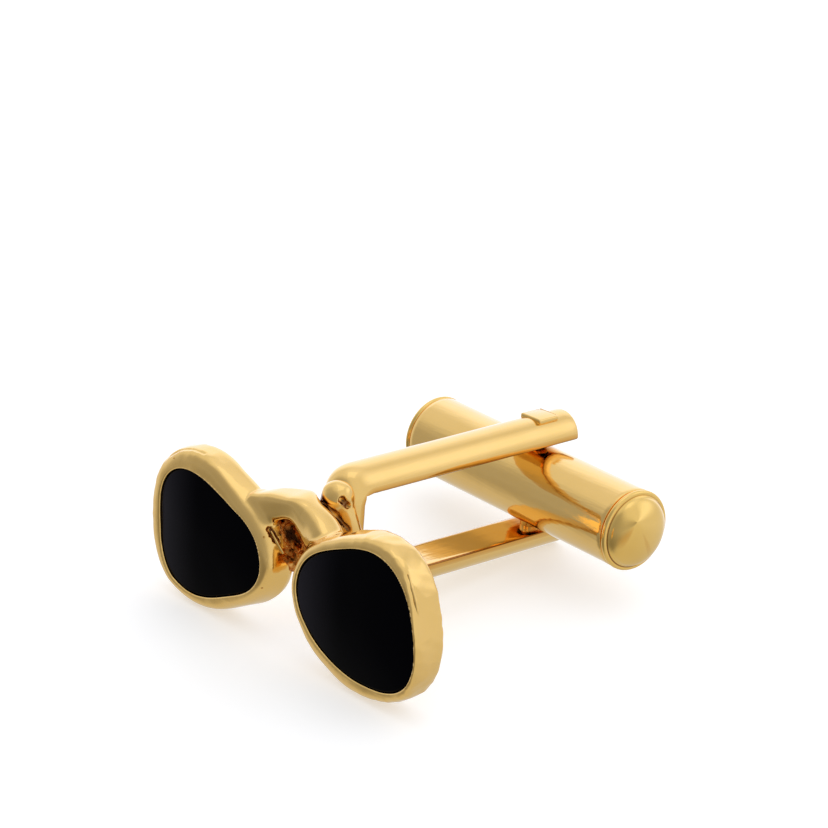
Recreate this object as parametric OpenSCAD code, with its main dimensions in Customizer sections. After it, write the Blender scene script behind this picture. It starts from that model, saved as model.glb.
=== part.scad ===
// Cufflink shaped like a pair of sunglasses: two dark inlays in a cast gold frame,
// a half-round wire shank soldered behind the nose bridge, and a swivelling toggle.
// The straight frame of the shank has X along the lenses, Y back along the shank and
// Z up across the two arms, with its zero where the shank's axis meets the face.

/* [Lenses] */
// Mean radius of the right inlay
lens_r = 4.3; // [3.8:0.05:4.8]
// Size of the left inlay next to the right one, which the casting leaves unequal
left_lens_size = 0.91; // [0.9:0.01:1]
// Distance of the right inlay's centre from the middle
right_lens_x = 6.65; // [6.5:0.01:6.9]
// Distance of the left inlay's centre from the middle
left_lens_x = 6.15; // [6:0.01:6.4]
// Height of the right inlay's centre on the shank's axis
right_lens_z = -1.57; // [-1.8:0.01:-1.3]
// Height of the left inlay's centre on the shank's axis
left_lens_z = -1.28; // [-1.5:0.02:-1]
// Rise of an inlay's low dome above its edge
lens_dome = 0.25; // [0.1:0.05:0.4]
// Thickness of an inlay at its edge
lens_t = 0.7; // [0.5:0.05:0.9]

/* [Bezels] */
// Mean width of the gold rim round the right inlay
right_rim_w = 0.68; // [0.66:0.01:0.8]
// Mean width of the gold rim round the left inlay
left_rim_w = 1.01; // [0.9:0.01:1.1]
// Depth of a bezel from the face to its flat back
bezel_depth = 2; // [1.8:0.1:2.4]
// Lean of the face's top towards the front, out of square with the shank
face_lean = 2.8; // [0:0.2:4]

/* [Bridge] */
// Height of the middle of the nose bridge on the shank's axis
bridge_z = 2.1; // [1.9:0.1:2.4]
// Half of the bridge's thickness, up and down
bridge_r = 0.9; // [0.7:0.05:1.1]

/* [Shank] */
// Width of the half-round wire of the shank
wire_w = 2.8; // [2.4:0.1:3.2]
// Thickness of the wire, from its flat inner side to its crown
wire_t = 1.47; // [1.3:0.01:1.6]
// Clear height between the arms
arm_gap = 5.36; // [5.2:0.02:5.6]
// Distance from the face to the inner side of the shank's closed end
web_y = 5.2; // [4.8:0.1:5.6]
// Distance from the face to the free ends of the arms
arm_end_y = 22.4; // [22:0.1:22.6]

/* [Toggle] */
// Outer diameter of the toggle's tube
toggle_d = 4.8; // [4.6:0.1:5]
// Length of the tube without its end caps
tube_len = 17.4; // [17:0.1:18.5]
// Height of the low dome of an end cap
dome_h = 1; // [0.6:0.1:1.4]
// Distance of the tube's middle from the pivot
toggle_off = -0.1; // [-0.4:0.1:0.4]
// Distance from the face to the pivot
pivot_y = 20.3; // [20:0.1:20.6]
// Turn of the toggle from square across the shank, as it is shown
toggle_turn = -5; // [-15:1:15]
// Diameter of the pivot pin
pin_d = 1.2; // [1:0.1:1.4]
// Side of the square head on the pin
head_w = 1.6; // [1.4:0.1:1.8]
// Thickness of the square head
head_t = 0.25; // [0.2:0.05:0.4]

/* [Hidden] */

GOLD = "#e3b95f";
BLACK = "#0c0c14";
SMOOTH = 64;
// Points round a lens outline
LENS_N = 56;
// Small gaps: an inlay in its seat, the pin in its holes and under its head, and
// an end cap on its tube
seat_gap = 0.04;
pin_gap = 0.05;
cap_gap = 0.04;
// How far the bridge keeps clear of an inlay's pocket, inside the bezel's own metal
room_extra = 0.1;
// Flat filed on the upper arm's crown under the pin head
head_seat = 0.1;
// Radius of the middle of the shank's bends, whose inner corner is sharp
bend_r = 0.7;
// Lump of solder on the upper bend
lump_r = 1.4;
LUMP = [0.2, 4.55, 1.95];
// Upright runs of solder that join the bridge, the left bezel and the shank: X, Y, radius
SOLDER = [[0, 3.9, 1.3], [-0.9, 2, 1.1]];
solder_low = -0.7;
solder_h = 2.1;

// Toggle: wall of the tube, and the bead, groove and skirt of an end cap
tube_wall = 0.45;
bead_r = 0.19;
bead_proud = 0.03;
groove = 0.18;
cap_skirt = 1.5;
toggle_r = toggle_d / 2;

inner_z = arm_gap / 2;
crown_z = inner_z + wire_t;
seat_z = crown_z - head_seat;

// One row for each lens: side, place and mean radius of the inlay with the waves of its
// outline, and the rim's mean width with its waves
SIDE = 0;
LENS_X = 1;
LENS_Z = 2;
MEAN_R = 3;
WAVES = 4;
RIM = 5;
RIM_WAVES = 6;
// Two to five waves round an outline, as cosine and sine parts of its mean radius
RIGHT_WAVES = [[0.094, 0.001], [-0.06, -0.015], [-0.003, -0.017], [-0.01, -0.002]];
LEFT_WAVES = [[0.094, 0.009], [-0.106, 0.006], [-0.003, 0.001], [-0.017, 0.001]];
// One to four waves round a rim, as cosine and sine parts in mm, and the least width of a rim
RIGHT_RIM_WAVES = [[-0.22, -0.13], [-0.27, 0.07], [-0.05, 0], [-0.04, -0.02]];
LEFT_RIM_WAVES = [[-0.02, 0.14], [-0.05, 0.015], [0.04, -0.05], [0.035, -0.05]];
least_rim_w = 0.24;
RIGHT_LENS = [1, right_lens_x, right_lens_z, lens_r, RIGHT_WAVES, right_rim_w, RIGHT_RIM_WAVES];
LEFT_LENS = [-1, left_lens_x, left_lens_z, lens_r * left_lens_size, LEFT_WAVES,
             left_rim_w, LEFT_RIM_WAVES];

// Cross-section of a bezel, from the middle of its back round the rim to its seat:
// depth behind the face, part of the rim's width, and gap left round the inlay
DEPTH = 0;
WIDTH = 1;
GAP = 2;
seat_depth = lens_t + seat_gap;
BEZEL_SECTION = [
    [bezel_depth, 0.3, 0],
    [bezel_depth - 0.1, 0.66, 0],
    [bezel_depth - 0.4, 0.9, 0],
    [bezel_depth * 0.55, 1, 0],
    [bezel_depth * 0.25, 0.95, 0],
    [-0.02, 0.72, 0],
    [-0.14, 0.4, 0],
    [-0.1, 0.12, seat_gap],
    [0.03, 0, seat_gap],
    [seat_depth, 0, seat_gap],
];

// Cross-section of an inlay, from its back edge to the ring nearest the top of its dome:
// depth behind the face, and part of the way out from its centre to its edge
PART = 1;
INLAY_SECTION = [
    [lens_t, 1],
    [0.05, 1],
    [0, 0.985],
    [-lens_dome * 0.36, 0.8],
    [-lens_dome * 0.7, 0.55],
    [-lens_dome * 0.93, 0.28],
    [-lens_dome, 0.08],
];

// Centre line of the nose bridge from its middle to the right, and the half depth of it there
BRIDGE_X = 0;
BRIDGE_Y = 1;
BRIDGE_DROP = 2;
BRIDGE_DEPTH = 3;
BRIDGE = [
    [0, 2.15, 0, 1.4],
    [0.9, 1.95, 0.25, 1.3],
    [1.7, 1.65, 0.7, 1.15],
    [2.4, 1.2, 1.25, 0.85],
    [3, 1.1, 2, 0.85],
];

// Rest: the two bezels and the lower arm's free end stand on the surface
rest_tilt = 5.2;
rest_roll = 2.76;
rest_shift = [-0.26, -11.52, 6.16];

function total(list, i = 0) = i < len(list) ? list[i] + total(list, i + 1) : 0;
// Radius of a lens outline at angle a, and its slope there
function outline_r(lens, a) =
    lens[MEAN_R] * (1 + total([for (k = [0:3]) let (w = lens[WAVES][k], n = k + 2)
                               w[0] * cos(n * a) + w[1] * sin(n * a)]));
function outline_slope(lens, a) =
    lens[MEAN_R] * total([for (k = [0:3]) let (w = lens[WAVES][k], n = k + 2)
                          n * (w[1] * cos(n * a) - w[0] * sin(n * a))]);
function rim_width(lens, a) =
    max(least_rim_w, lens[RIM] + total([for (k = [0:3]) let (w = lens[RIM_WAVES][k], n = k + 1)
                                        w[0] * cos(n * a) + w[1] * sin(n * a)]));
// Point of a lens outline at angle a, moved out square to the outline by d
function outline_point(lens, a, d) =
    let (r = outline_r(lens, a), s = outline_slope(lens, a), n = sqrt(r * r + s * s))
    [lens[SIDE] * (lens[LENS_X] + r * cos(a) + d * (r * cos(a) + s * sin(a)) / n),
     lens[LENS_Z] + r * sin(a) + d * (r * sin(a) - s * cos(a)) / n];
// Ring round a lens at a depth, moved out by a part of the rim's width and by a gap
function outline_ring(lens, depth, part, gap) =
    [for (i = [0:LENS_N - 1])
        let (a = lens[SIDE] * i * 360 / LENS_N,
             p = outline_point(lens, a, part * rim_width(lens, a) + gap))
        [p[0], depth, p[1]]];

// A closed skin through rings of the same number of points, with flat ends
module loft(rings) {
    n = len(rings[0]);
    last = len(rings) - 1;
    sides = [for (k = [0:last - 1], i = [0:n - 1])
        let (j = (i + 1) % n) [k * n + i, (k + 1) * n + i, (k + 1) * n + j, k * n + j]];
    first_cap = [for (i = [0:n - 1]) i];
    last_cap = [for (i = [n - 1:-1:0]) last * n + i];
    polyhedron([for (r = rings, p = r) p], concat([first_cap, last_cap], sides), convexity = 6);
}

// Turns the head out of square with the shank, as it is soldered
module lean() {
    rotate([face_lean, 0, 0]) children();
}

// Lays the straight frame down as the cufflink rests
module at_rest() {
    translate(rest_shift) rotate([-rest_tilt, -rest_roll, 0]) children();
}

module bezel(lens) {
    loft([for (s = BEZEL_SECTION) outline_ring(lens, s[DEPTH], s[WIDTH], s[GAP])]);
}

module inlay(lens) {
    centre = [lens[SIDE] * lens[LENS_X], 0, lens[LENS_Z]];
    edge = outline_ring(lens, 0, 0, 0);
    loft([for (s = INLAY_SECTION) [for (p = edge) centre + (p - centre) * s[PART] + [0, s[DEPTH], 0]]]);
}

function bridge_row(i) = BRIDGE[abs(i)];
function bridge_section(i) =
    let (b = bridge_row(i), side = i < 0 ? -1 : 1)
    [for (k = [0:15]) let (a = k * 22.5)
        [side * b[BRIDGE_X] + side * 0.35 * b[BRIDGE_DROP] * bridge_r * sin(a),
         b[BRIDGE_Y] + b[BRIDGE_DEPTH] * cos(a),
         bridge_z - b[BRIDGE_DROP] + bridge_r * sin(a)]];

// Room that the bridge leaves for an inlay, a little wider than the bezel's own pocket
module inlay_room(lens) {
    gap = seat_gap + room_extra;
    loft([for (depth = [seat_depth + room_extra, -bezel_depth]) outline_ring(lens, depth, 0, gap)]);
}

module bridge() {
    last = len(BRIDGE) - 1;
    difference() {
        loft([for (i = [-last:last]) bridge_section(i)]);
        inlay_room(RIGHT_LENS);
        inlay_room(LEFT_LENS);
    }
}

// Half-round wire section, flat side on Y = 0 and crown towards +Y
module wire_section() {
    intersection() {
        translate([0, wire_t - wire_w / 2]) circle(d = wire_w, $fn = SMOOTH);
        translate([-wire_w, 0]) square([2 * wire_w, wire_t + 1]);
    }
}

module upper_arm() {
    translate([0, arm_end_y, inner_z]) rotate([90, 0, 0])
        linear_extrude(arm_end_y - web_y - bend_r) wire_section();
}

module upper_bend() {
    difference() {
        translate([0, web_y + bend_r, inner_z - bend_r]) rotate([180, -90, 0])
            rotate_extrude(angle = 90, $fn = SMOOTH) translate([bend_r, 0]) rotate(-90) wire_section();
        translate([-wire_w, web_y, inner_z - 2 * bend_r]) cube([2 * wire_w, 2 * bend_r, 2 * bend_r]);
    }
}

module web() {
    translate([0, web_y, bend_r - inner_z]) rotate([0, 0, 180])
        linear_extrude(2 * (inner_z - bend_r)) wire_section();
}

module both_arms() {
    children();
    mirror([0, 0, 1]) children();
}

module shank() {
    difference() {
        union() {
            both_arms() upper_arm();
            both_arms() upper_bend();
            web();
        }
        translate([0, pivot_y, -2 * crown_z])
            cylinder(d = pin_d + 2 * pin_gap, h = 4 * crown_z, $fn = SMOOTH);
        translate([-wire_w, pivot_y - head_w / 2 - 0.1, seat_z]) cube([2 * wire_w, head_w + 0.2, 1]);
    }
}

module solder() {
    for (run = SOLDER) translate([run[0], run[1], solder_low]) {
        cylinder(r = run[2], h = solder_h, $fn = SMOOTH);
        for (z = [0, solder_h]) translate([0, 0, z]) sphere(r = run[2], $fn = SMOOTH);
    }
    translate(LUMP) sphere(r = lump_r, $fn = SMOOTH);
}

module frame() {
    color(GOLD) at_rest() union() {
        lean() {
            bezel(RIGHT_LENS);
            bezel(LEFT_LENS);
            bridge();
        }
        shank();
        solder();
    }
}

module right_inlay() {
    color(BLACK) at_rest() lean() inlay(RIGHT_LENS);
}

module left_inlay() {
    color(BLACK) at_rest() lean() inlay(LEFT_LENS);
}

// A straight pin, flush below and with a square head above
module pivot_pin() {
    color(GOLD) at_rest() translate([0, pivot_y, 0]) union() {
        translate([0, 0, head_seat - crown_z])
            cylinder(d = pin_d, h = seat_z + pin_gap + crown_z - head_seat, $fn = SMOOTH);
        translate([-head_w / 2, -head_w / 2, seat_z + pin_gap]) cube([head_w, head_w, head_t]);
    }
}

// Puts a piece made along X about the tube's middle where the toggle hangs on its pin
module on_pivot() {
    at_rest() translate([0, pivot_y, 0]) rotate([0, 0, toggle_turn]) translate([toggle_off, 0, 0])
        children();
}

module toggle_tube() {
    color(GOLD) on_pivot() difference() {
        rotate([0, 90, 0]) cylinder(r = toggle_r, h = tube_len, center = true, $fn = SMOOTH);
        rotate([0, 90, 0])
            cylinder(r = toggle_r - tube_wall, h = 2 * tube_len, center = true, $fn = SMOOTH);
        translate([-toggle_off, 0, 0])
            cylinder(d = pin_d + 2 * pin_gap, h = 4 * toggle_r, center = true, $fn = SMOOTH);
    }
}

// Low dome: the part above Z = 0 of a sphere that meets it at radius r
module dome(r) {
    ball_r = (r * r + dome_h * dome_h) / (2 * dome_h);
    intersection() {
        translate([0, 0, dome_h - ball_r]) sphere(r = ball_r, $fn = SMOOTH);
        cylinder(r = r + 1, h = dome_h + 1, $fn = SMOOTH);
    }
}

// A pressed cap on the tube's right end: a bead against the tube, a groove and a low dome,
// on a plain skirt inside the tube
module end_cap() {
    groove_r = toggle_r - groove;
    translate([tube_len / 2 + cap_gap, 0, 0]) rotate([0, 90, 0]) {
        rotate_extrude($fn = SMOOTH) translate([toggle_r + bead_proud - bead_r, bead_r])
            circle(r = bead_r, $fn = SMOOTH);
        cylinder(r = groove_r, h = 2 * bead_r, $fn = SMOOTH);
        translate([0, 0, 2 * bead_r]) dome(groove_r);
        translate([0, 0, -cap_skirt])
            cylinder(r = toggle_r - tube_wall - cap_gap, h = cap_skirt + bead_r, $fn = SMOOTH);
    }
}

module right_end_cap() {
    color(GOLD) on_pivot() end_cap();
}

module left_end_cap() {
    color(GOLD) on_pivot() mirror([1, 0, 0]) end_cap();
}

frame();
right_inlay();
left_inlay();
pivot_pin();
toggle_tube();
right_end_cap();
left_end_cap();
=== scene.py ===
import math

import bpy
import numpy as np
from mathutils import Matrix, Vector


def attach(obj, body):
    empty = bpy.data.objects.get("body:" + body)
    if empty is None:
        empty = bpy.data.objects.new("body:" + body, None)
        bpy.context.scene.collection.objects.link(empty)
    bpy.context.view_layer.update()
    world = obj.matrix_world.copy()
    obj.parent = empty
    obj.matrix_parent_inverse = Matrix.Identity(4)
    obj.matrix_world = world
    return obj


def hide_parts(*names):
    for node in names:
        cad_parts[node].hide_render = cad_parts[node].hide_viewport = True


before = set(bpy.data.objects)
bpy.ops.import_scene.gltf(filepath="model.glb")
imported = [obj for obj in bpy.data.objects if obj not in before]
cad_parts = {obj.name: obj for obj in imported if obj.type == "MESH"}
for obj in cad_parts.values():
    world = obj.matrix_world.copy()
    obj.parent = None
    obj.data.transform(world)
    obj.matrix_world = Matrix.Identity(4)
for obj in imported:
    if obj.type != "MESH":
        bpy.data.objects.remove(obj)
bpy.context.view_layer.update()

# Sizes from the part's source, in millimetres, in the straight frame of the shank: X along
# the lenses, Y back along the shank, Z up across the arms
REST_TILT = 5.2
REST_ROLL = 2.76
REST_SHIFT = (-0.26, -11.52, 6.16)
FACE_LEAN = 2.8
LENS_R = 4.3
LENS_DOME = 0.25
LENS_T = 0.7
SEAT_GAP = 0.04
WIRE_W = 2.8
WIRE_T = 1.47
INNER_Z = 2.68
WEB_Y = 5.2
BEND_R = 0.7
ARM_END_Y = 22.4
PIVOT_Y = 20.3
PIN_D = 1.2
HEAD_W = 1.6
HEAD_T = 0.25
TOGGLE_R = 2.4
TOGGLE_TURN = -5
TOGGLE_OFF = -0.1
TUBE_LEN = 17.4
CAP_GAP = 0.04
BEAD_R = 0.19
BEAD_PROUD = 0.03
GROOVE = 0.18
DOME_H = 1.0
CROWN_Z = INNER_Z + WIRE_T

# Each lens: side, middle, mean radius with two to five waves round its outline, and mean
# width of the rim with one to four waves of it in mm, all waves as cosine and sine parts; how
# crisp the rim's outer corner is, and what part of its width it loses at the front of the nose
RIGHT = dict(side=1, x=6.65, z=-1.57, r=LENS_R, rim=0.68, crisp=2.5, draft=0.0, uneven=0.07,
             waves=((0.094, 0.001), (-0.06, -0.015), (-0.003, -0.017), (-0.01, -0.002)),
             rim_waves=((-0.22, -0.13), (-0.27, 0.07), (-0.05, 0), (-0.04, -0.02)))
LEFT = dict(side=-1, x=6.15, z=-1.28, r=LENS_R * 0.91, rim=1.01, crisp=0.4, draft=0.4, uneven=0.03,
            waves=((0.094, 0.009), (-0.106, 0.006), (-0.003, 0.001), (-0.017, 0.001)),
            rim_waves=((-0.02, 0.14), (-0.05, 0.015), (0.04, -0.05), (0.035, -0.05)))
LEAST_RIM = 0.25
# Middle and half of a bezel's depth, from its rounded lip to its flat back
BEZEL_Y = 0.93
BEZEL_HALF = 1.07
# Sections of the bridge from left to right: x, front y, back y, bottom z, top z
BRIDGE = np.array([(-3.3, 0.55, 1.9, 0.4, 2.2), (-2.5, 0.62, 2.05, 0.65, 2.5),
                   (-1.9, 0.64, 2.5, 0.9, 2.7), (-1.3, 0.68, 2.85, 1.1, 2.8),
                   (-0.6, 0.76, 3.1, 1.45, 2.88), (-0.1, 0.8, 2.9, 1.52, 2.98),
                   (0.3, 0.8, 2.7, 1.28, 2.98), (0.7, 0.77, 2.65, 0.75, 2.88),
                   (1.05, 0.73, 2.65, 0.25, 2.77), (1.4, 0.68, 2.66, -0.2, 2.66),
                   (1.9, 0.55, 2.72, -0.45, 2.46), (2.4, 0.4, 2.7, -0.6, 2.2),
                   (3.2, 0.3, 2.4, -0.8, 1.65)])
# Solder on the upper bend, and the bead on it with its pit
LUMP = (0.15, 4.85, 1.9)
LUMP_R = 1.1
BALL = (0.56, 3.75, 2.68)
BALL_R = 0.95
PIT = ((1.36, 3.36, 2.8), (1.5, 3.7, 2.48))
# Solder that runs down from them, as the two ends and the radius of each run
NECK_RUNS = (((0.25, 2.4, 1.3), (0.1, 4.3, 1.2), 1.05), ((0, 3.95, -0.75), (0, 3.95, 1.2), 1.2),
             ((0.95, 3.95, 2.2), (1.3, 4.35, 0.4), 0.6))
# The open crevice between bridge and bead, a crease along the top of the left rim and a groove
# at its nose side, a flash of metal beside that, and a fold down the corner of the right rim,
# the last four in the frame of the face
SLOT = ((0.05, 2.85, 2.5), (0.75, 2.95, 2.3), (1.15, 3.2, 1.85), (1.25, 3.6, 1.4), (1.6, 3.75, 1.05))
FOLD = ((10.18, 0.2, 2.12), (10.5, 0.15, 1.5), (10.78, 0.2, 0.77), (10.88, 0.29, 0.07),
        (10.98, 0.33, -0.34))
CREASE = ((-9.39, 0.1, 2.79), (-8.56, 0.24, 3.4), (-7.67, 0.36, 3.67), (-6.82, 0.38, 3.68))
NOSE_GROOVE = ((-1.42, 0.62, 0.72), (-0.95, 0.75, 0.12))
FLASH = ((-1.18, 0.56, 0.68), (-0.5, 0.84, -0.42))
# Rough solder in the nose gap, as the ends and radius of one run, and a crumb left out of it
GAP_SOLDER = ((-0.55, 2.0, -0.75), (-0.6, 2.1, 1.3), 0.98)
CRUMB = (0.24, 2.65, 1.81)
# Painted shade and reflection on the casting, and four dark specks: two ends, radius, fade and depth of
# each
# Amber painted down the solder neck as the gold's reflection in itself, then painted shade in the nose
# groove and the pit
SHADE_AND_SPECKS = [((0.9, 3.4, 2.0), (1.25, 4.1, 0.9), 0.3, 0.6, 0.66),
          ((-1.4, 0.7, 0.66), (-0.9, 0.8, 0.1), 0.12, 0.17, 1.0),
          ((1.33, 3.46, 2.7), (1.43, 3.68, 2.46), 0.15, 0.18, 1.0)]
# Painted shade along the slot
SHADE_AND_SPECKS += [(a, b, 0.12, 0.2, 1.0) for a, b in zip(SLOT, SLOT[1:])]
# Four dark specks on the casting
SHADE_AND_SPECKS += [(at, np.add(at, (0.01, 0, 0)), 0.03, 0.08, 1.0)
           for at in ((-8.91, -0.18, 2.78), (-1.38, 0.17, 0.4), (-7.18, 0.23, -5.0),
                      (-1.3, 0.19, -2.64))]
# How far out a field is felt for the painted shade in its hollows
CREVICE_REACH = 0.3

# Points on the wire's round side, and the painted shade and dark reflection along its two edges as place in
# the section and depth
WIRE_ARC = 45
EDGE_SHADE = ((46, 0.88), (45, 0.66), (47, 0.66), (44, 0.6), (43, 0.5), (42, 0.38))
# Points round each turned piece, rings over a cap's dome, the dome's foot and its point, which
# lies off the middle
ROUND = 160
DOME_RINGS = 32
DOME_FOOT = TOGGLE_R + BEAD_PROUD - 0.35
DOME_POINT = (-0.9, 1.05)
FLOOR_HALF = 0.6

MM = 0.001
AT_REST = (Matrix.Scale(MM, 4) @ Matrix.Translation(REST_SHIFT)
           @ Matrix.Rotation(math.radians(-REST_ROLL), 4, "Y")
           @ Matrix.Rotation(math.radians(-REST_TILT), 4, "X"))
LEAN = Matrix.Rotation(math.radians(FACE_LEAN), 4, "X")
ON_PIVOT = (Matrix.Translation((0, PIVOT_Y, 0)) @ Matrix.Rotation(math.radians(TOGGLE_TURN), 4, "Z")
            @ Matrix.Translation((TOGGLE_OFF, 0, 0)))


def gap_shade(points):
    """Painted shade in the narrow spaces between the arms and the toggle, darker the deeper a point lies.
    """
    x, y, z = np.abs(points).T
    aside = np.hypot(np.maximum(x - WIRE_W / 2 + 0.3, 0), np.maximum(np.abs(y - PIVOT_Y) - 0.5, 0))
    beside = np.clip(1 - aside, 0, 1)
    return 0.95 * beside * np.clip(1 - np.abs(z - INNER_Z + 0.15) / 0.6, 0, 1)


# Meshes
def moved(points, matrix):
    """The points carried by a matrix."""
    m = np.array(matrix)
    return np.asarray(points, float) @ m[:3, :3].T + m[:3, 3]


def piece(name, points, faces, body, nodes, normals=None, place=None, painted_shade=None):
    """A smooth mesh from points in millimetres, put at rest, riding on a body in place of nodes."""
    matrix = AT_REST @ place if place is not None else AT_REST
    mesh = bpy.data.meshes.new(name)
    mesh.from_pydata(moved(points, matrix).tolist(), [], faces)
    mesh.validate()
    mesh.update()
    mesh.shade_smooth()
    if normals is not None:
        turned = np.asarray(normals) @ np.array(matrix.to_3x3().normalized()).T
        turned /= np.linalg.norm(turned, axis=1, keepdims=True)
        mesh.normals_split_custom_set_from_vertices(turned.tolist())
    # Painted shade: darkness and amber painted into hollows, gaps, edges and seams, read by the gold
    if painted_shade is not None:
        mesh.attributes.new("painted_shade", "FLOAT", "POINT").data.foreach_set("value", painted_shade)
    obj = bpy.data.objects.new(name, mesh)
    bpy.context.scene.collection.objects.link(obj)
    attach(obj, body)
    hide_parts(*nodes)
    return obj


def skin(rings):
    """Points and faces of a closed skin through rings of the same length, with flat ends."""
    n = len(rings[0])
    faces = []
    for k in range(len(rings) - 1):
        for i in range(n):
            j = (i + 1) % n
            faces.append((k * n + i, k * n + j, (k + 1) * n + j, (k + 1) * n + i))
    base = (len(rings) - 1) * n
    faces += [tuple(reversed(range(n))), tuple(range(base, base + n))]
    return np.concatenate([np.asarray(r, float) for r in rings]), faces


def turned_over(faces):
    """The same faces, seen from the other side."""
    return [tuple(reversed(f)) for f in faces]


def lathe(profile):
    """A turned skin about X through (x, radius) pairs."""
    a = np.linspace(0, 2 * math.pi, ROUND, endpoint=False)
    rings = [np.stack([np.full(ROUND, x), r * np.cos(a), r * np.sin(a)], -1) for x, r in profile]
    return skin(rings)


# Smooth fields: negative inside, positive outside
def join(a, b, k):
    """The two fields together, blended over a distance k."""
    h = np.clip(0.5 + 0.5 * (b - a) / k, 0, 1)
    return b + (a - b) * h - k * h * (1 - h)


def cut(a, b, k):
    """The part of a outside b."""
    return -join(-a, b, k)


def capsule(p, a, b, r):
    """A rod with round ends from a to b."""
    a, b = np.array(a, float), np.array(b, float)
    t = np.clip(((p - a) @ (b - a)) / ((b - a) @ (b - a)), 0, 1)
    return np.linalg.norm(p - a - t[:, None] * (b - a), axis=1) - r


def ball(p, at, r):
    return np.linalg.norm(p - np.array(at), axis=1) - r


def lumps(p, wave, seed):
    """Soft unevenness between about -1 and 1, the same each run."""
    rng = np.random.default_rng(seed)
    total = np.zeros(len(p))
    for _ in range(7):
        way = rng.normal(size=3)
        way *= 2 * math.pi / (wave * rng.uniform(0.7, 1.5)) / np.linalg.norm(way)
        total += np.sin(p @ way + rng.uniform(0, 2 * math.pi))
    return total / 3.5


def outline(lens, a):
    """Radius of a lens outline at angle a, and its slope."""
    r = np.ones_like(a)
    s = np.zeros_like(a)
    for k, (c, w) in enumerate(lens["waves"]):
        n = k + 2
        r = r + c * np.cos(n * a) + w * np.sin(n * a)
        s = s + n * (w * np.cos(n * a) - c * np.sin(n * a))
    return r * lens["r"], s * lens["r"]


def rim_width(lens, a):
    """Width of a rim at angle a, never less than LEAST_RIM."""
    w = lens["rim"] + sum(c * np.cos((k + 1) * a) + s * np.sin((k + 1) * a)
                          for k, (c, s) in enumerate(lens["rim_waves"]))
    return -join(-w, np.full_like(w, -LEAST_RIM), 0.12)


def casting(p):
    """Unevenness of the cast surface."""
    return 0.03 * lumps(p, 3.4, 3) + 0.007 * lumps(p * (1, 0.5, 1), 1.6, 4)


def bezel(p, lens):
    """Field of a solid bezel, field of its pocket, and how far the pocket's lip is eased."""
    x = lens["side"] * p[:, 0] - lens["x"]
    z = p[:, 2] - lens["z"]
    y = p[:, 1]
    a = np.arctan2(z, x)
    r, s = outline(lens, a)
    far = (np.hypot(x, z) - r) * r / np.hypot(r, s)
    w = rim_width(lens, a)
    nose = np.exp(-((np.abs(a) - 2.8) / 0.6) ** 2)
    w = w * (1 - lens["draft"] * nose * np.clip((1.3 - y) / 1.3, 0, 1))
    # The bezel's rounded section, uneven as cast and more so on its outer wall, with a little
    # taken off where it lies on the floor
    power = 3.2 + lens["crisp"] * np.exp(-((a - 0.25) / 0.55) ** 2)
    q = np.abs(np.maximum(far, 0) / w) ** power + np.abs((y - BEZEL_Y) / BEZEL_HALF) ** power
    outer = (q ** (1 / power) - 1) * (0.4 * w + 0.4)
    outer = outer + np.clip(w / 0.6, 0.3, 1) * casting(p)
    wall = lens["uneven"] * np.clip(far / w - 0.35, 0, 1) * np.clip(1.2 - 0.6 * np.abs(a - 0.1), 0, 1)
    outer = outer + wall * (np.abs(lumps(p, 1.5, 31)) - 0.35 + 0.5 * lumps(p, 0.8, 32))
    outer = outer + 0.05 * np.clip((-4.4 - p[:, 2]) / 1.2, 0, 1)
    pocket = np.maximum(far - SEAT_GAP, y - LENS_T - SEAT_GAP)
    return outer, pocket, np.minimum(0.12, 0.22 * w)


def eased(table, width):
    """The table's rows at close steps of its first column, smoothed over a width."""
    t = np.linspace(table[0, 0] - 1, table[-1, 0] + 1, 401)
    weight = np.exp(-((t[:, None] - t[None, :]) / width) ** 2)
    weight /= weight.sum(1, keepdims=True)
    return t, [weight @ np.interp(t, table[:, 0], table[:, k]) for k in range(1, table.shape[1])]


BRIDGE_AT, BRIDGE_ROWS = eased(BRIDGE, 0.25)


def bridge(p):
    """A saddle of rounded square sections along X."""
    front, back, low, top = (np.interp(p[:, 0], BRIDGE_AT, row) for row in BRIDGE_ROWS)
    power = 4 - 1.5 * np.clip((p[:, 0] + 0.3) / 1.2, 0, 1)
    q = (np.abs(2 * p[:, 1] - front - back) / (back - front)) ** power
    q += (np.abs(2 * p[:, 2] - low - top) / (top - low)) ** power
    return (q ** (1 / power) - 1) * 0.85 + np.maximum(np.abs(p[:, 0]) - 3.1, 0)


def lens_frame(p):
    """Both bezels, the bridge and the smooth solder between bridge and shank."""
    head = moved(p, LEAN.inverted())
    right, right_pocket, right_ease = bezel(head, RIGHT)
    left, left_pocket, left_ease = bezel(head, LEFT)
    f = join(right, bridge(head) + casting(p), 0.35)
    f = join(left, f, 0.4)
    behind, inside, beside = NECK_RUNS
    neck = join(capsule(p, *behind), ball(p, LUMP, LUMP_R), 0.3)
    neck = join(neck, capsule(p, *inside) + 0.03 * lumps(p, 1.4, 22), 0.3)
    neck = join(neck, capsule(p, *beside) + 0.05 * lumps(p, 0.9, 23), 0.25)
    bead = ball(p, BALL, BALL_R) + 0.04 * lumps(p, 1.1, 21)
    f = join(f, join(neck, bead, 0.15), 0.1)
    # Nothing of the casting stands between the shank's arms
    f = cut(f, np.maximum(WEB_Y - 0.02 - p[:, 1], np.abs(p[:, 2]) - INNER_Z), 0.04)
    f = cut(f, right_pocket, right_ease)
    f = cut(f, left_pocket, left_ease)
    for a, b in zip(SLOT, SLOT[1:]):
        f = cut(f, capsule(p, a, b, 0.13) + 0.04 * lumps(p, 0.6, 44), 0.06)
    f = cut(f, capsule(p, *PIT, 0.22) + 0.06 * lumps(p, 0.5, 43), 0.1)
    for a, b in zip(CREASE, CREASE[1:]):
        f = cut(f, capsule(head, a, b, 0.07), 0.12)
    return cut(f, capsule(head, *NOSE_GROOVE, 0.15) + 0.05 * lumps(p, 0.5, 45), 0.08)


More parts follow.
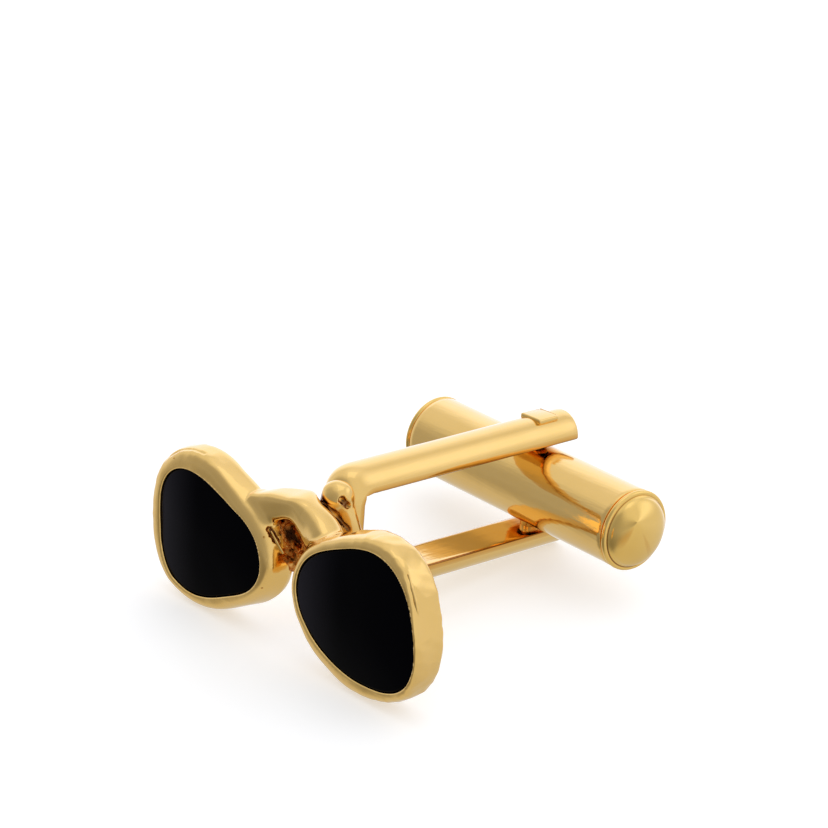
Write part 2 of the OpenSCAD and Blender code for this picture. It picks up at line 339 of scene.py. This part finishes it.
def sliver(p):
    """A thin flash of metal standing along the nose side of the left bezel."""
    head = moved(p, LEAN.inverted())
    taper = 0.09 - 0.03 * np.clip((head[:, 2] - 0.1) / 0.6, 0, 1)
    return capsule(head, *FLASH, 0.0) - taper - 0.02 * lumps(p, 0.5, 41)


def fold(p):
    """A thin fold of cast metal down the outer corner of the right rim."""
    head = moved(p, LEAN.inverted())
    near = np.min([capsule(head, a, b, 0.0) for a, b in zip(FOLD, FOLD[1:])], axis=0)
    ends = np.clip(np.minimum(2.2 - head[:, 2], head[:, 2] + 0.42) / 0.7, 0, 1)
    return near - 0.06 - 0.06 * ends - 0.02 * lumps(p, 0.7, 42)


def solder(p):
    """Rough, crumpled solder in the nose gap."""
    f = capsule(p, *GAP_SOLDER)
    crumpled = np.abs(lumps(p, 0.9, 12)) + 0.5 * np.abs(lumps(p, 0.45, 13))
    f = f + 0.08 * lumps(p, 1.3, 11) - 0.17 * (crumpled - 0.6)
    return cut(f, ball(p, CRUMB, 0.16), 0.03)


def surface(field, low, high, step):
    """Points, quads, normals and painted shade of a field's zero surface, darker in its hollows."""
    low = np.array(low, float)
    count = np.ceil((np.array(high) - low) / step).astype(int) + 1
    axes = [low[k] + step * np.arange(count[k]) for k in range(3)]
    f = np.empty(count)
    for i, x in enumerate(axes[0]):
        y, z = np.meshgrid(axes[1], axes[2], indexing="ij")
        f[i] = field(np.stack([np.full(y.size, x), y.ravel(), z.ravel()], -1)).reshape(y.shape)
    # One point in each cell that the surface crosses, the mean of its crossings of the cell's edges
    corners = [(i, j, k) for i in (0, 1) for j in (0, 1) for k in (0, 1)]
    filled = sum((f[c[0]:count[0] - 1 + c[0], c[1]:count[1] - 1 + c[1],
                    c[2]:count[2] - 1 + c[2]] < 0).astype(int) for c in corners)
    cells = np.nonzero((filled > 0) & (filled < 8))
    index = np.full(filled.shape, -1)
    index[cells] = np.arange(len(cells[0]))
    cell = np.stack(cells, -1)
    total = np.zeros(cell.shape)
    hits = np.zeros(len(cell))
    for a in corners:
        for b in corners:
            if sum(abs(u - v) for u, v in zip(a, b)) != 1 or a > b:
                continue
            fa, fb = f[tuple((cell + a).T)], f[tuple((cell + b).T)]
            crossed = (fa < 0) != (fb < 0)
            t = np.where(crossed, fa / np.where(crossed, fa - fb, 1), 0)[:, None]
            total += np.where(crossed[:, None], np.array(a) + t * (np.array(b) - a), 0)
            hits += crossed
    points = low + step * (cell + total / hits[:, None])
    # One quad across each grid edge that the surface crosses
    quads = []
    for axis in range(3):
        u, v = [k for k in range(3) if k != axis]
        here = np.swapaxes(np.moveaxis(f, axis, 0), 1, 2) if u > v else np.moveaxis(f, axis, 0)
        sign = here[:-1, 1:-1, 1:-1] < 0
        change = np.nonzero(sign != (here[1:, 1:-1, 1:-1] < 0))
        at = np.zeros((len(change[0]), 3), int)
        at[:, axis], at[:, u], at[:, v] = change[0], change[1] + 1, change[2] + 1
        ring = []
        for du, dv in ((-1, -1), (0, -1), (0, 0), (-1, 0)):
            c = at.copy()
            c[:, u] += du
            c[:, v] += dv
            ring.append(index[tuple(c.T)])
        ring = np.stack(ring, -1)
        flip = sign[change] == (axis == 1)
        ring[flip] = ring[flip][:, ::-1]
        quads.append(ring)
    # The points are moved on to the surface exactly
    for _ in range(4):
        grad = np.stack([(field(points + e) - field(points - e)) / 0.02
                         for e in np.eye(3) * 0.01], -1)
        size = np.maximum((grad ** 2).sum(1), 0.05)
        shift = (field(points) / size)[:, None] * grad
        length = np.linalg.norm(shift, axis=1, keepdims=True)
        points = points - shift * np.minimum(1, 0.5 * step / np.maximum(length, 1e-9))
    grad /= np.linalg.norm(grad, axis=1, keepdims=True)
    # Painted shade in the hollows: the nearer the field lies just outside a point, the darker it is painted
    painted_shade = np.clip(1 - field(points + CREVICE_REACH * grad) / (0.8 * CREVICE_REACH), 0, 1)
    return points, np.concatenate(quads).tolist(), grad, painted_shade


# Materials, and the sockets of a colour mix node
MIX_FAC, MIX_A, MIX_B, MIX_OUT = 0, 6, 7, 2


def nodes_of(name):
    """A new material, its node tree and its shader."""
    mat = bpy.data.materials.new(name)
    mat.use_nodes = True
    tree = mat.node_tree
    return mat, tree, tree.nodes["Principled BSDF"]


def add(tree, kind, inputs=None, **values):
    """A new node with its settings, and its inputs linked or set."""
    node = tree.nodes.new(kind)
    for key, value in values.items():
        setattr(node, key, value)
    for key, value in (inputs or {}).items():
        if hasattr(value, "node"):
            tree.links.new(value, node.inputs[key])
        else:
            node.inputs[key].default_value = value
    return node


def noise(tree, scale, detail=3.0, stretch=(1, 1, 1), rough=0.5):
    """Noise in the object's own space, in metres, drawn out where stretch is small."""
    place = add(tree, "ShaderNodeTexCoord")
    size = add(tree, "ShaderNodeMapping", {"Vector": place.outputs["Object"], "Scale": stretch})
    return add(tree, "ShaderNodeTexNoise", {"Vector": size.outputs["Vector"], "Scale": scale,
                                            "Detail": detail, "Roughness": rough}).outputs["Fac"]


def ramp(tree, fac, *stops):
    """A colour ramp through (place, colour) stops."""
    node = add(tree, "ShaderNodeValToRGB", {"Fac": fac})
    band = node.color_ramp
    while len(band.elements) < len(stops):
        band.elements.new(0.5)
    for element, (at, colour) in zip(band.elements, stops):
        element.position = at
        element.color = (*colour, 1)
    return node.outputs["Color"]


def gold(name, rough, wave, scratch, tint=0.0, stretch=(1, 1, 1), turned=0.0, pits=0.0):
    """Polished gold plate under clear lacquer, with soft unevenness and fine scratches, painted amber
    as its reflection in itself, then dark brown as shade, where the painted_shade attribute is high.
    Pits is the share of cells that hold a dark pinhole, and turned gives the drawn look of turned metal."""
    mat, tree, shader = nodes_of(name)
    shader.inputs["Metallic"].default_value = 1.0
    shader.inputs["Coat Weight"].default_value = 0.6
    shader.inputs["Coat Roughness"].default_value = 0.05
    warm = ramp(tree, noise(tree, 420, 4), (0.3, (0.97, 0.635, 0.2 - tint)),
                (0.7, (0.99, 0.66, 0.224 - tint)))
    # Painted shade: this attribute multiplies the gold to amber, as its reflection in itself, then to dark
    # brown, as shade
    deep = add(tree, "ShaderNodeAttribute", attribute_name="painted_shade")
    shade = ramp(tree, deep.outputs["Fac"], (0.25, (1, 1, 1)), (0.6, (0.8, 0.63, 0.36)),
                 (0.9, (0.24, 0.14, 0.06)))
    shaded = add(tree, "ShaderNodeMix", {MIX_A: warm, MIX_B: shade, MIX_FAC: 1.0},
               data_type="RGBA", blend_type="MULTIPLY")
    tone = shaded.outputs[MIX_OUT]
    if pits:
        place = add(tree, "ShaderNodeTexCoord")
        cell = add(tree, "ShaderNodeTexVoronoi", {"Vector": place.outputs["Object"], "Scale": 620.0})
        near = ramp(tree, cell.outputs["Distance"], (0.03, (1, 1, 1)), (0.05, (0, 0, 0)))
        few = ramp(tree, cell.outputs["Color"], (pits, (1, 1, 1)), (pits + 0.02, (0, 0, 0)))
        pit = add(tree, "ShaderNodeMix", {MIX_FAC: 1.0, MIX_A: near, MIX_B: few},
                  data_type="RGBA", blend_type="MULTIPLY")
        dark = add(tree, "ShaderNodeMix", {MIX_FAC: pit.outputs[MIX_OUT], MIX_A: tone,
                                           MIX_B: (0.2, 0.1, 0.03, 1)}, data_type="RGBA")
        tone = dark.outputs[MIX_OUT]
    tree.links.new(tone, shader.inputs["Base Color"])
    dull = add(tree, "ShaderNodeMapRange", {"Value": noise(tree, 700, 5), "From Min": 0.3,
                                            "From Max": 0.7, "To Min": rough[0], "To Max": rough[1]})
    tree.links.new(dull.outputs["Result"], shader.inputs["Roughness"])
    soft = add(tree, "ShaderNodeBump", {"Height": noise(tree, 600, 2), "Strength": wave,
                                        "Distance": 0.001})
    fine = add(tree, "ShaderNodeBump", {"Height": noise(tree, 2600, 4, stretch), "Strength": scratch,
                                        "Distance": 0.001, "Normal": soft.outputs["Normal"]})
    tree.links.new(fine.outputs["Normal"], shader.inputs["Normal"])
    if turned:
        shader.inputs["Anisotropic"].default_value = turned
        radial = add(tree, "ShaderNodeTangent", direction_type="UV_MAP", uv_map="turned")
        tree.links.new(radial.outputs["Tangent"], shader.inputs["Tangent"])
    return mat


def inlay_black(name):
    """Polished black stone, with a painted sheen of reflection: a little paler where the painted_sheen
    attribute is high.
    """
    mat, tree, shader = nodes_of(name)
    shader.inputs["Specular IOR Level"].default_value = 0.025
    painted_sheen = add(tree, "ShaderNodeAttribute", attribute_name="painted_sheen")
    tone = ramp(tree, painted_sheen.outputs["Fac"], (0.0, (0.0002, 0.0002, 0.001)), (1.0, (0.014, 0.013, 0.018)))
    tree.links.new(tone, shader.inputs["Base Color"])
    dull = add(tree, "ShaderNodeMapRange", {"Value": noise(tree, 900, 4), "From Min": 0.3,
                                            "From Max": 0.7, "To Min": 0.06, "To Max": 0.14})
    tree.links.new(dull.outputs["Result"], shader.inputs["Roughness"])
    soft = add(tree, "ShaderNodeBump", {"Height": noise(tree, 350, 1), "Strength": 0.02,
                                        "Distance": 0.001})
    tree.links.new(soft.outputs["Normal"], shader.inputs["Normal"])
    return mat


def solder_brown(name):
    """Burnt, spotted solder between dark brown and gold."""
    mat, tree, shader = nodes_of(name)
    shader.inputs["Metallic"].default_value = 1.0
    tone = ramp(tree, noise(tree, 1000, 4, rough=0.6), (0.38, (0.05, 0.014, 0.004)),
                (0.5, (0.6, 0.19, 0.03)), (0.64, (1.0, 0.55, 0.14)))
    tree.links.new(tone, shader.inputs["Base Color"])
    shader.inputs["Roughness"].default_value = 0.1
    bump = add(tree, "ShaderNodeBump", {"Height": noise(tree, 3000, 5), "Strength": 0.35,
                                        "Distance": 0.0004})
    tree.links.new(bump.outputs["Normal"], shader.inputs["Normal"])
    return mat


cast_gold = gold("cast_gold", rough=(0.07, 0.15), wave=0.03, scratch=0.012, pits=0.28)
wire_gold = gold("wire_gold", rough=(0.06, 0.12), wave=0.015, scratch=0.022, stretch=(1, 0.03, 1))
toggle_gold = gold("toggle_gold", rough=(0.06, 0.12), wave=0.006, scratch=0.04,
                   stretch=(0.015, 1, 1))
cap_gold = gold("cap_gold", rough=(0.12, 0.2), wave=0.02, scratch=0.01, tint=0.03, turned=0.7)
black = inlay_black("black_onyx")
dark_solder = solder_brown("dark_solder")


def paint(obj, mat):
    """The object, with one material."""
    obj.data.materials.clear()
    obj.data.materials.append(mat)
    return obj


# The cast frame, the rough solder in its nose gap, and two small bits of cast metal
points, quads, normals, painted_shade = surface(lens_frame, (-11.9, -0.7, -6.7), (12.9, 6.2, 4.9), 0.1)
# Painted shade and reflection, and dark specks, laid over the painted shade in the hollows
for a, b, r, fade, depth in SHADE_AND_SPECKS:
    painted_shade = np.maximum(painted_shade, depth * np.clip(1 - np.maximum(capsule(points, a, b, r), 0) / fade, 0, 1))
paint(piece("lens_frame", points, quads, "link", ["frame"], normals, painted_shade=painted_shade), cast_gold)
points, quads, normals, painted_shade = surface(solder, (-2.0, 0.6, -2.2), (1.1, 3.5, 2.8), 0.07)
paint(piece("nose_solder", points, quads, "link", ["frame"], normals, painted_shade=painted_shade), dark_solder)
points, quads, normals, _ = surface(sliver, (-1.5, 0.2, -0.9), (-0.2, 1.3, 1.0), 0.04)
paint(piece("nose_sliver", points, quads, "link", ["frame"], normals), cast_gold)
points, quads, normals, _ = surface(fold, (9.9, -0.1, -0.8), (11.3, 0.7, 2.5), 0.045)
paint(piece("rim_fold", points, quads, "link", ["frame"], normals), cast_gold)


# Inlays
def inlay(name, lens, node):
    """A low domed slab with a soft edge, in the outline of its lens."""
    count = 168
    a = np.linspace(0, 2 * math.pi, count, endpoint=False)
    r, _ = outline(lens, a)
    rings = []
    for depth, part in [(LENS_T, 0.97), (LENS_T - 0.03, 1.0), (0.09, 1.0), (0.045, 0.998), (0.012, 0.993),
                        (-0.01, 0.985)] + [(-LENS_DOME * (1 - t * t), t) for t in
                                           (0.97, 0.93, 0.85, 0.75, 0.65, 0.55, 0.45, 0.35, 0.25,
                                            0.15, 0.06)]:
        x = lens["side"] * (lens["x"] + part * r * np.cos(a))
        z = lens["z"] + part * r * np.sin(a)
        rings.append(np.stack([x, np.full(count, depth), z], -1))
    pts, faces = skin(rings)
    if lens["side"] < 0:
        faces = turned_over(faces)
    obj = paint(piece(name, pts, faces, "link", [node], place=LEAN), black)
    # A painted sheen of reflection, paler towards the left edge of each inlay
    across = (pts[:, 0] - pts[:, 0].min()) / np.ptp(pts[:, 0])
    painted_sheen = np.clip(1 - across / 0.4, 0, 1) ** 1.6
    obj.data.attributes.new("painted_sheen", "FLOAT", "POINT").data.foreach_set("value", painted_sheen)


inlay("right_lens_inlay", RIGHT, "right_inlay")
inlay("left_lens_inlay", LEFT, "left_inlay")


# Shank: a half-round section swept along the arms, the bends and the closed end
def wire_section():
    """(x, height over the flat side) round the section, with its two edges eased."""
    ease = 0.12
    centre = WIRE_T - WIRE_W / 2
    arc = np.linspace(4, 176, WIRE_ARC)
    pts = [(WIRE_W / 2 * math.cos(math.radians(t)), centre + WIRE_W / 2 * math.sin(math.radians(t)))
           for t in arc]
    flat = np.linspace(-1, 1, 13)[1:-1] * (WIRE_W / 2 - ease)
    left = [(-WIRE_W / 2 + ease * (1 - math.cos(math.radians(t))), ease * (1 - math.sin(math.radians(t))))
            for t in (15, 40, 65)]
    right = [(-x, y) for x, y in reversed(left)]
    return np.array(pts + left + [(x, 0.002 * (x * x - 1.6)) for x in flat] + right)


def shank():
    """The wire from the lower arm's end round the closed end to the upper arm's end."""
    sec = wire_section()
    x, h = sec[:, 0], sec[:, 1]
    rings = []
    middle = np.array([0, WIRE_T * 0.42])

    def arm(y, sign, part=1.0):
        sx, sh = (sec - middle).T * part + middle[:, None]
        return np.stack([sx, np.full(len(sx), y), sign * (INNER_Z + sh)], -1)

    def bend(angle, sign):
        c, s = math.cos(math.radians(angle)), math.sin(math.radians(angle))
        inner = BEND_R / max(abs(c), abs(s)) - 0.02
        radius = -join(-(BEND_R + h), -np.full(len(h), inner), 0.12)
        fuller = 1 + 0.15 * math.sin(math.radians(2 * angle)) ** 2
        radius = np.where(h > 0.5, BEND_R + h * fuller, radius)
        return np.stack([x, WEB_Y + BEND_R - c * radius, sign * (INNER_Z - BEND_R + s * radius)], -1)

    ends = [(0.0, 0.86), (0.03, 0.94), (0.08, 0.98), (0.16, 1.0)]
    rings += [arm(ARM_END_Y - d, -1, p) for d, p in ends]
    rings += [arm(y, -1) for y in np.linspace(ARM_END_Y - 0.6, WEB_Y + BEND_R, 30)]
    rings += [bend(t, -1) for t in np.linspace(90, 0, 19)[1:]]
    rings += [np.stack([x, WEB_Y - h, np.full(len(x), z)], -1)
              for z in np.linspace(-INNER_Z + BEND_R, INNER_Z - BEND_R, 16)[1:-1]]
    rings += [bend(t, 1) for t in np.linspace(0, 90, 19)[:-1]]
    rings += [arm(y, 1) for y in np.linspace(WEB_Y + BEND_R, ARM_END_Y - 0.6, 30)]
    rings += [arm(ARM_END_Y - d, 1, p) for d, p in reversed(ends)]
    points, faces = skin(rings)
    return points, turned_over(faces)


points, faces = shank()
# Painted shade and dark reflection along the wire's two edges, and painted shade in the gap beside the
# toggle
edge = np.zeros(len(wire_section()))
for at, depth in EDGE_SHADE:
    edge[[at, (WIRE_ARC - 1 - at) % len(edge)]] = depth
edge = np.resize(edge, len(points))
paint(piece("wire_shank", points, faces, "link", ["frame"],
            painted_shade=np.maximum(gap_shade(points), edge)), wire_gold)


# Pivot pin: a shaft with a square head above, and peened flush below
def rounded_square(half, corner):
    """(x, y) round a square with rounded corners."""
    pts = []
    for k in range(4):
        cx, cy = [(1, 1), (-1, 1), (-1, -1), (1, -1)][k]
        for t in np.linspace(0, 90, 6):
            a = math.radians(k * 90 + t)
            pts.append((cx * (half - corner) + corner * math.cos(a),
                        cy * (half - corner) + corner * math.sin(a)))
    return np.array(pts)


def pin():
    """The pin's head, bent to the arm's crown, and its shaft."""
    top = CROWN_Z - 0.05
    rings = []
    for z, half in ((top, HEAD_W / 2 - 0.03), (top + 0.03, HEAD_W / 2),
                    (top + HEAD_T - 0.05, HEAD_W / 2), (top + HEAD_T - 0.012, HEAD_W / 2 - 0.02),
                    (top + HEAD_T, HEAD_W / 2 - 0.07)):
        sq = rounded_square(half, 0.1)
        drop = WIRE_W / 2 - np.sqrt((WIRE_W / 2) ** 2 - sq[:, 0] ** 2)
        rings.append(np.column_stack([sq, z - drop * (0.75 if z < top + 0.1 else 0.55)]))
    head, head_faces = skin(rings)
    a = np.linspace(0, 2 * math.pi, 64, endpoint=False)
    low = 0.1 - CROWN_Z
    rings = [np.stack([r * np.cos(a), r * np.sin(a), np.full(64, z)], -1)
             for z, r in ((low, PIN_D / 2 - 0.1), (low + 0.02, PIN_D / 2 - 0.03),
                          (low + 0.08, PIN_D / 2), (top + 0.05, PIN_D / 2))]
    shaft, shaft_faces = skin(rings)
    faces = head_faces + [tuple(i + len(head) for i in f) for f in shaft_faces]
    return np.concatenate([head, shaft]) + (0, PIVOT_Y, 0), faces


points, faces = pin()
# The pin is painted darker in the gap between the arms and the toggle, as shade
paint(piece("square_headed_pin", points, faces, "link", ["pivot_pin"],
            painted_shade=gap_shade(points)), wire_gold)

# Toggle: the tube and its two pressed end caps
half = TUBE_LEN / 2
tube = [(-half, TOGGLE_R - 0.3), (-half, TOGGLE_R - 0.06), (-half + 0.02, TOGGLE_R - 0.02),
        (-half + 0.06, TOGGLE_R)]
tube += [(x, TOGGLE_R) for x in np.linspace(-half + 0.3, half - 0.3, 24)]
tube += [(-x, r) for x, r in reversed(tube[:4])]
points, faces = lathe(tube)
# The tube is painted darker where it lies close under the arms, as shade
paint(piece("toggle_barrel", points, faces, "toggle_bar", ["toggle_tube"], place=ON_PIVOT,
            painted_shade=gap_shade(moved(points, ON_PIVOT))), toggle_gold)


def cap_profile():
    """(x, radius) from the seam round the bead, over the shoulder to the middle of the flat end."""
    groove_r = TOGGLE_R - GROOVE
    bead = 0.17
    centre = TOGGLE_R + BEAD_PROUD - bead
    pts = [(-0.02, 0.5), (-0.02, groove_r - 0.25), (0, groove_r - 0.02), (0.02, centre - 0.05)]
    pts += [(0.02 + bead - bead * math.cos(math.radians(t)), centre + bead * math.sin(math.radians(t)))
            for t in range(10, 176, 15)]
    foot, shoulder = 0.02 + 2 * bead, 2 * BEAD_R + 0.07
    pts += [(foot - 0.02, centre - 0.07), (foot, centre - 0.1), (shoulder - 0.02, centre - 0.13)]
    return pts + [(shoulder, DOME_FOOT * (1 - t ** 1.1)) for t in np.linspace(0, 0.995, DOME_RINGS)]


def domed(points):
    """Raises the flat end of a turned cap to a blunt dome, drawn to a point off its middle."""
    foot = 2 * BEAD_R + 0.07
    rise = 2 * BEAD_R + DOME_H - foot
    top = points[:, 0] > TUBE_LEN / 2 + CAP_GAP + foot - 1e-6
    part = np.hypot(points[top, 1], points[top, 2]) / DOME_FOOT
    side = points[top, 1:] + (1 - part)[:, None] ** 1.3 * np.array(DOME_POINT)
    far = np.linalg.norm(side, axis=1) / DOME_FOOT
    points[top, 1:] = side
    points[top, 0] += (rise - 0.3) * np.sqrt(np.maximum(1 - far ** 2.3, 0)) + 0.42 * (1 - part)
    return points


for side, name in ((1, "right"), (-1, "left")):
    profile = [(TUBE_LEN / 2 + CAP_GAP + x, r) for x, r in cap_profile()]
    points, faces = lathe(profile)
    points = domed(points)
    if side < 0:
        points = points * (-1, 1, 1)
        faces = turned_over(faces)
    # The seams on both sides of the bead are painted dark as shade in their grooves, lighter towards one
    # side and on the far cap, and two painted streaks of dark reflection run up the dome
    foot = len(profile) - DOME_RINGS
    seam = np.zeros(len(profile))
    seam[[2, 3, foot - 3, foot - 2]] = 1
    around = np.linspace(0, 2 * math.pi, ROUND, endpoint=False)
    cap_shade = np.outer(seam, 0.72 - 0.18 * np.cos(around - 0.5) - 0.25 * (side < 0))
    ring = np.clip(np.arange(len(profile)) - foot, 0, DOME_RINGS - 1) / (DOME_RINGS - 1)
    reflection_streaks = 0.52 * np.exp(-((around - 3.35) / 0.4) ** 2) + 0.4 * np.exp(-((around - 5.2) / 0.25) ** 2)
    cap_shade += np.outer(np.sin(math.pi * ring) ** 0.7 * (ring > 0), reflection_streaks)
    cap = paint(piece(name + "_domed_cap", points, faces, "toggle_bar", [name + "_end_cap"],
                      place=ON_PIVOT, painted_shade=cap_shade.ravel()), cap_gold)
    turned = cap.data.uv_layers.new(name="turned")
    index = np.empty(len(cap.data.loops), int)
    cap.data.loops.foreach_get("vertex_index", index)
    along_round = np.column_stack([index // ROUND / len(profile), index % ROUND / ROUND])
    turned.data.foreach_set("uv", along_round.ravel())

# Floor
mesh = bpy.data.meshes.new("floor")
mesh.from_pydata([(x * FLOOR_HALF, y * FLOOR_HALF, 0) for x, y in ((-1, -1), (1, -1), (1, 1), (-1, 1))], [],
                 [(0, 1, 2, 3)])
floor = bpy.data.objects.new("floor", mesh)
bpy.context.scene.collection.objects.link(floor)
mat, tree, shader = nodes_of("pale_floor")
shader.inputs["Base Color"].default_value = (0.9, 0.9, 0.9, 1)
shader.inputs["Roughness"].default_value = 0.6
shader.inputs["Specular IOR Level"].default_value = 0.2
shader.inputs["Emission Color"].default_value = (1, 1, 1, 1)
shader.inputs["Emission Strength"].default_value = 0.45
floor.data.materials.append(mat)
floor.visible_glossy = False

# Soft studio light: a wide bright glow behind, to the left, a smaller one to the right and one
# overhead, all a little cool, in a pale tent that is darker in front and warmer below
world = bpy.data.worlds.new("studio")
bpy.context.scene.world = world
world.use_nodes = True
tree = world.node_tree
way = add(tree, "ShaderNodeTexCoord")


def glow(toward, *levels):
    """Brightness by the cosine of the angle from a direction, as (cosine, level) pairs."""
    turned = AT_REST.to_3x3().normalized() @ Vector(toward).normalized()
    side = add(tree, "ShaderNodeVectorMath", {0: way.outputs["Generated"], 1: turned},
               operation="DOT_PRODUCT")
    place = add(tree, "ShaderNodeMapRange", {"Value": side.outputs["Value"], "From Min": -1.0,
                                             "From Max": 1.0, "To Min": 0.0, "To Max": 1.0})
    node = add(tree, "ShaderNodeFloatCurve", {"Value": place.outputs["Result"]})
    points = node.mapping.curves[0].points
    levels = [(-1, levels[0][1])] + list(levels) + [(1, levels[-1][1])]
    while len(points) < len(levels):
        points.new(0.5, 0.5)
    for point, (cosine, level) in zip(points, levels):
        point.location = (cosine / 2 + 0.5, level)
        point.handle_type = "VECTOR"
    node.mapping.update()
    return node.outputs["Value"]


tent = glow((0, 1, 0), (-0.99, 0.36), (-0.65, 0.43), (-0.54, 0.53), (-0.44, 0.66), (-0.32, 0.76),
            (0, 0.78), (0.99, 0.74))
left_glow = glow((-0.66, 0.73, 0.15), (0.6, 0.0), (0.66, 0.03), (0.72, 0.12), (0.79, 0.24),
                 (0.85, 0.34), (0.91, 0.4))
right_glow = glow((0.52, 0.68, 0.5), (0.86, 0.0), (0.89, 0.04), (0.93, 0.13), (0.965, 0.25), (0.99, 0.36))
below = glow((0, -0.1, -1), (0.15, 0.0), (0.45, 0.1), (0.7, 0.16), (0.95, 0.16))
top_glow = glow((0, 0.2, 1), (0.8, 0.0), (0.88, 0.04), (0.95, 0.12), (0.99, 0.15))
sides = add(tree, "ShaderNodeMath", {0: left_glow, 1: right_glow}, operation="ADD")
glows = add(tree, "ShaderNodeMath", {0: sides.outputs["Value"], 1: top_glow}, operation="ADD")
room = add(tree, "ShaderNodeMath", {0: tent, 1: below}, operation="SUBTRACT")
warmth = add(tree, "ShaderNodeMath", {0: below, 1: 4.0}, operation="MULTIPLY", use_clamp=True)
tone = add(tree, "ShaderNodeMix", {MIX_FAC: warmth.outputs["Value"], MIX_A: (1, 1, 1, 1),
                                   MIX_B: (1, 0.94, 0.76, 1)}, data_type="RGBA")
warm_room = add(tree, "ShaderNodeVectorMath", {0: tone.outputs[MIX_OUT], "Scale": room.outputs["Value"]},
                operation="SCALE")
cool_glow = add(tree, "ShaderNodeVectorMath", {0: (0.9, 1.0, 1.35), "Scale": glows.outputs["Value"]},
                operation="SCALE")
lit = add(tree, "ShaderNodeVectorMath", {0: warm_room.outputs["Vector"], 1: cool_glow.outputs["Vector"]},
          operation="ADD")
tree.links.new(lit.outputs["Vector"], tree.nodes["Background"].inputs["Color"])
tree.nodes["Background"].inputs["Strength"].default_value = 1.0


def softbox(name, at, size, level):
    """A square light aimed at the part, as bright as white paper times its level."""
    data = bpy.data.lights.new(name, "AREA")
    data.shape = "RECTANGLE"
    data.size, data.size_y = size
    data.energy = level * math.pi * size[0] * size[1]
    lamp = bpy.data.objects.new(name, data)
    lamp.location = at
    lamp.rotation_euler = (Vector((0, 0, 0.004)) - Vector(at)).to_track_quat("-Z", "Y").to_euler()
    bpy.context.scene.collection.objects.link(lamp)


softbox("top_softbox", (0.02, 0.02, 0.3), (0.16, 0.16), 0.15)

# Camera at the photograph's angle, from the fit to the photograph, in the straight frame
EYE = (132.699, -124.184, 72.617)
RIGHTWARD = (0.69011, 0.71992, 0.07385)
UPWARD = (-0.28849, 0.18008, 0.94040)
LENS_MM = 153.57
turn = AT_REST.to_3x3().normalized()
right, up = turn @ Vector(RIGHTWARD), turn @ Vector(UPWARD)
back = right.cross(up)
camera = bpy.data.objects.new("camera", bpy.data.cameras.new("camera"))
camera.matrix_world = (Matrix.Translation(AT_REST @ Vector(EYE))
                       @ Matrix((right, up, back)).transposed().to_4x4())
camera.data.lens = LENS_MM
camera.data.sensor_width = 36
camera.data.sensor_fit = "HORIZONTAL"
camera.data.clip_start = 0.01
bpy.context.scene.collection.objects.link(camera)
bpy.context.scene.camera = camera
bpy.context.scene.view_settings.view_transform = "Standard"
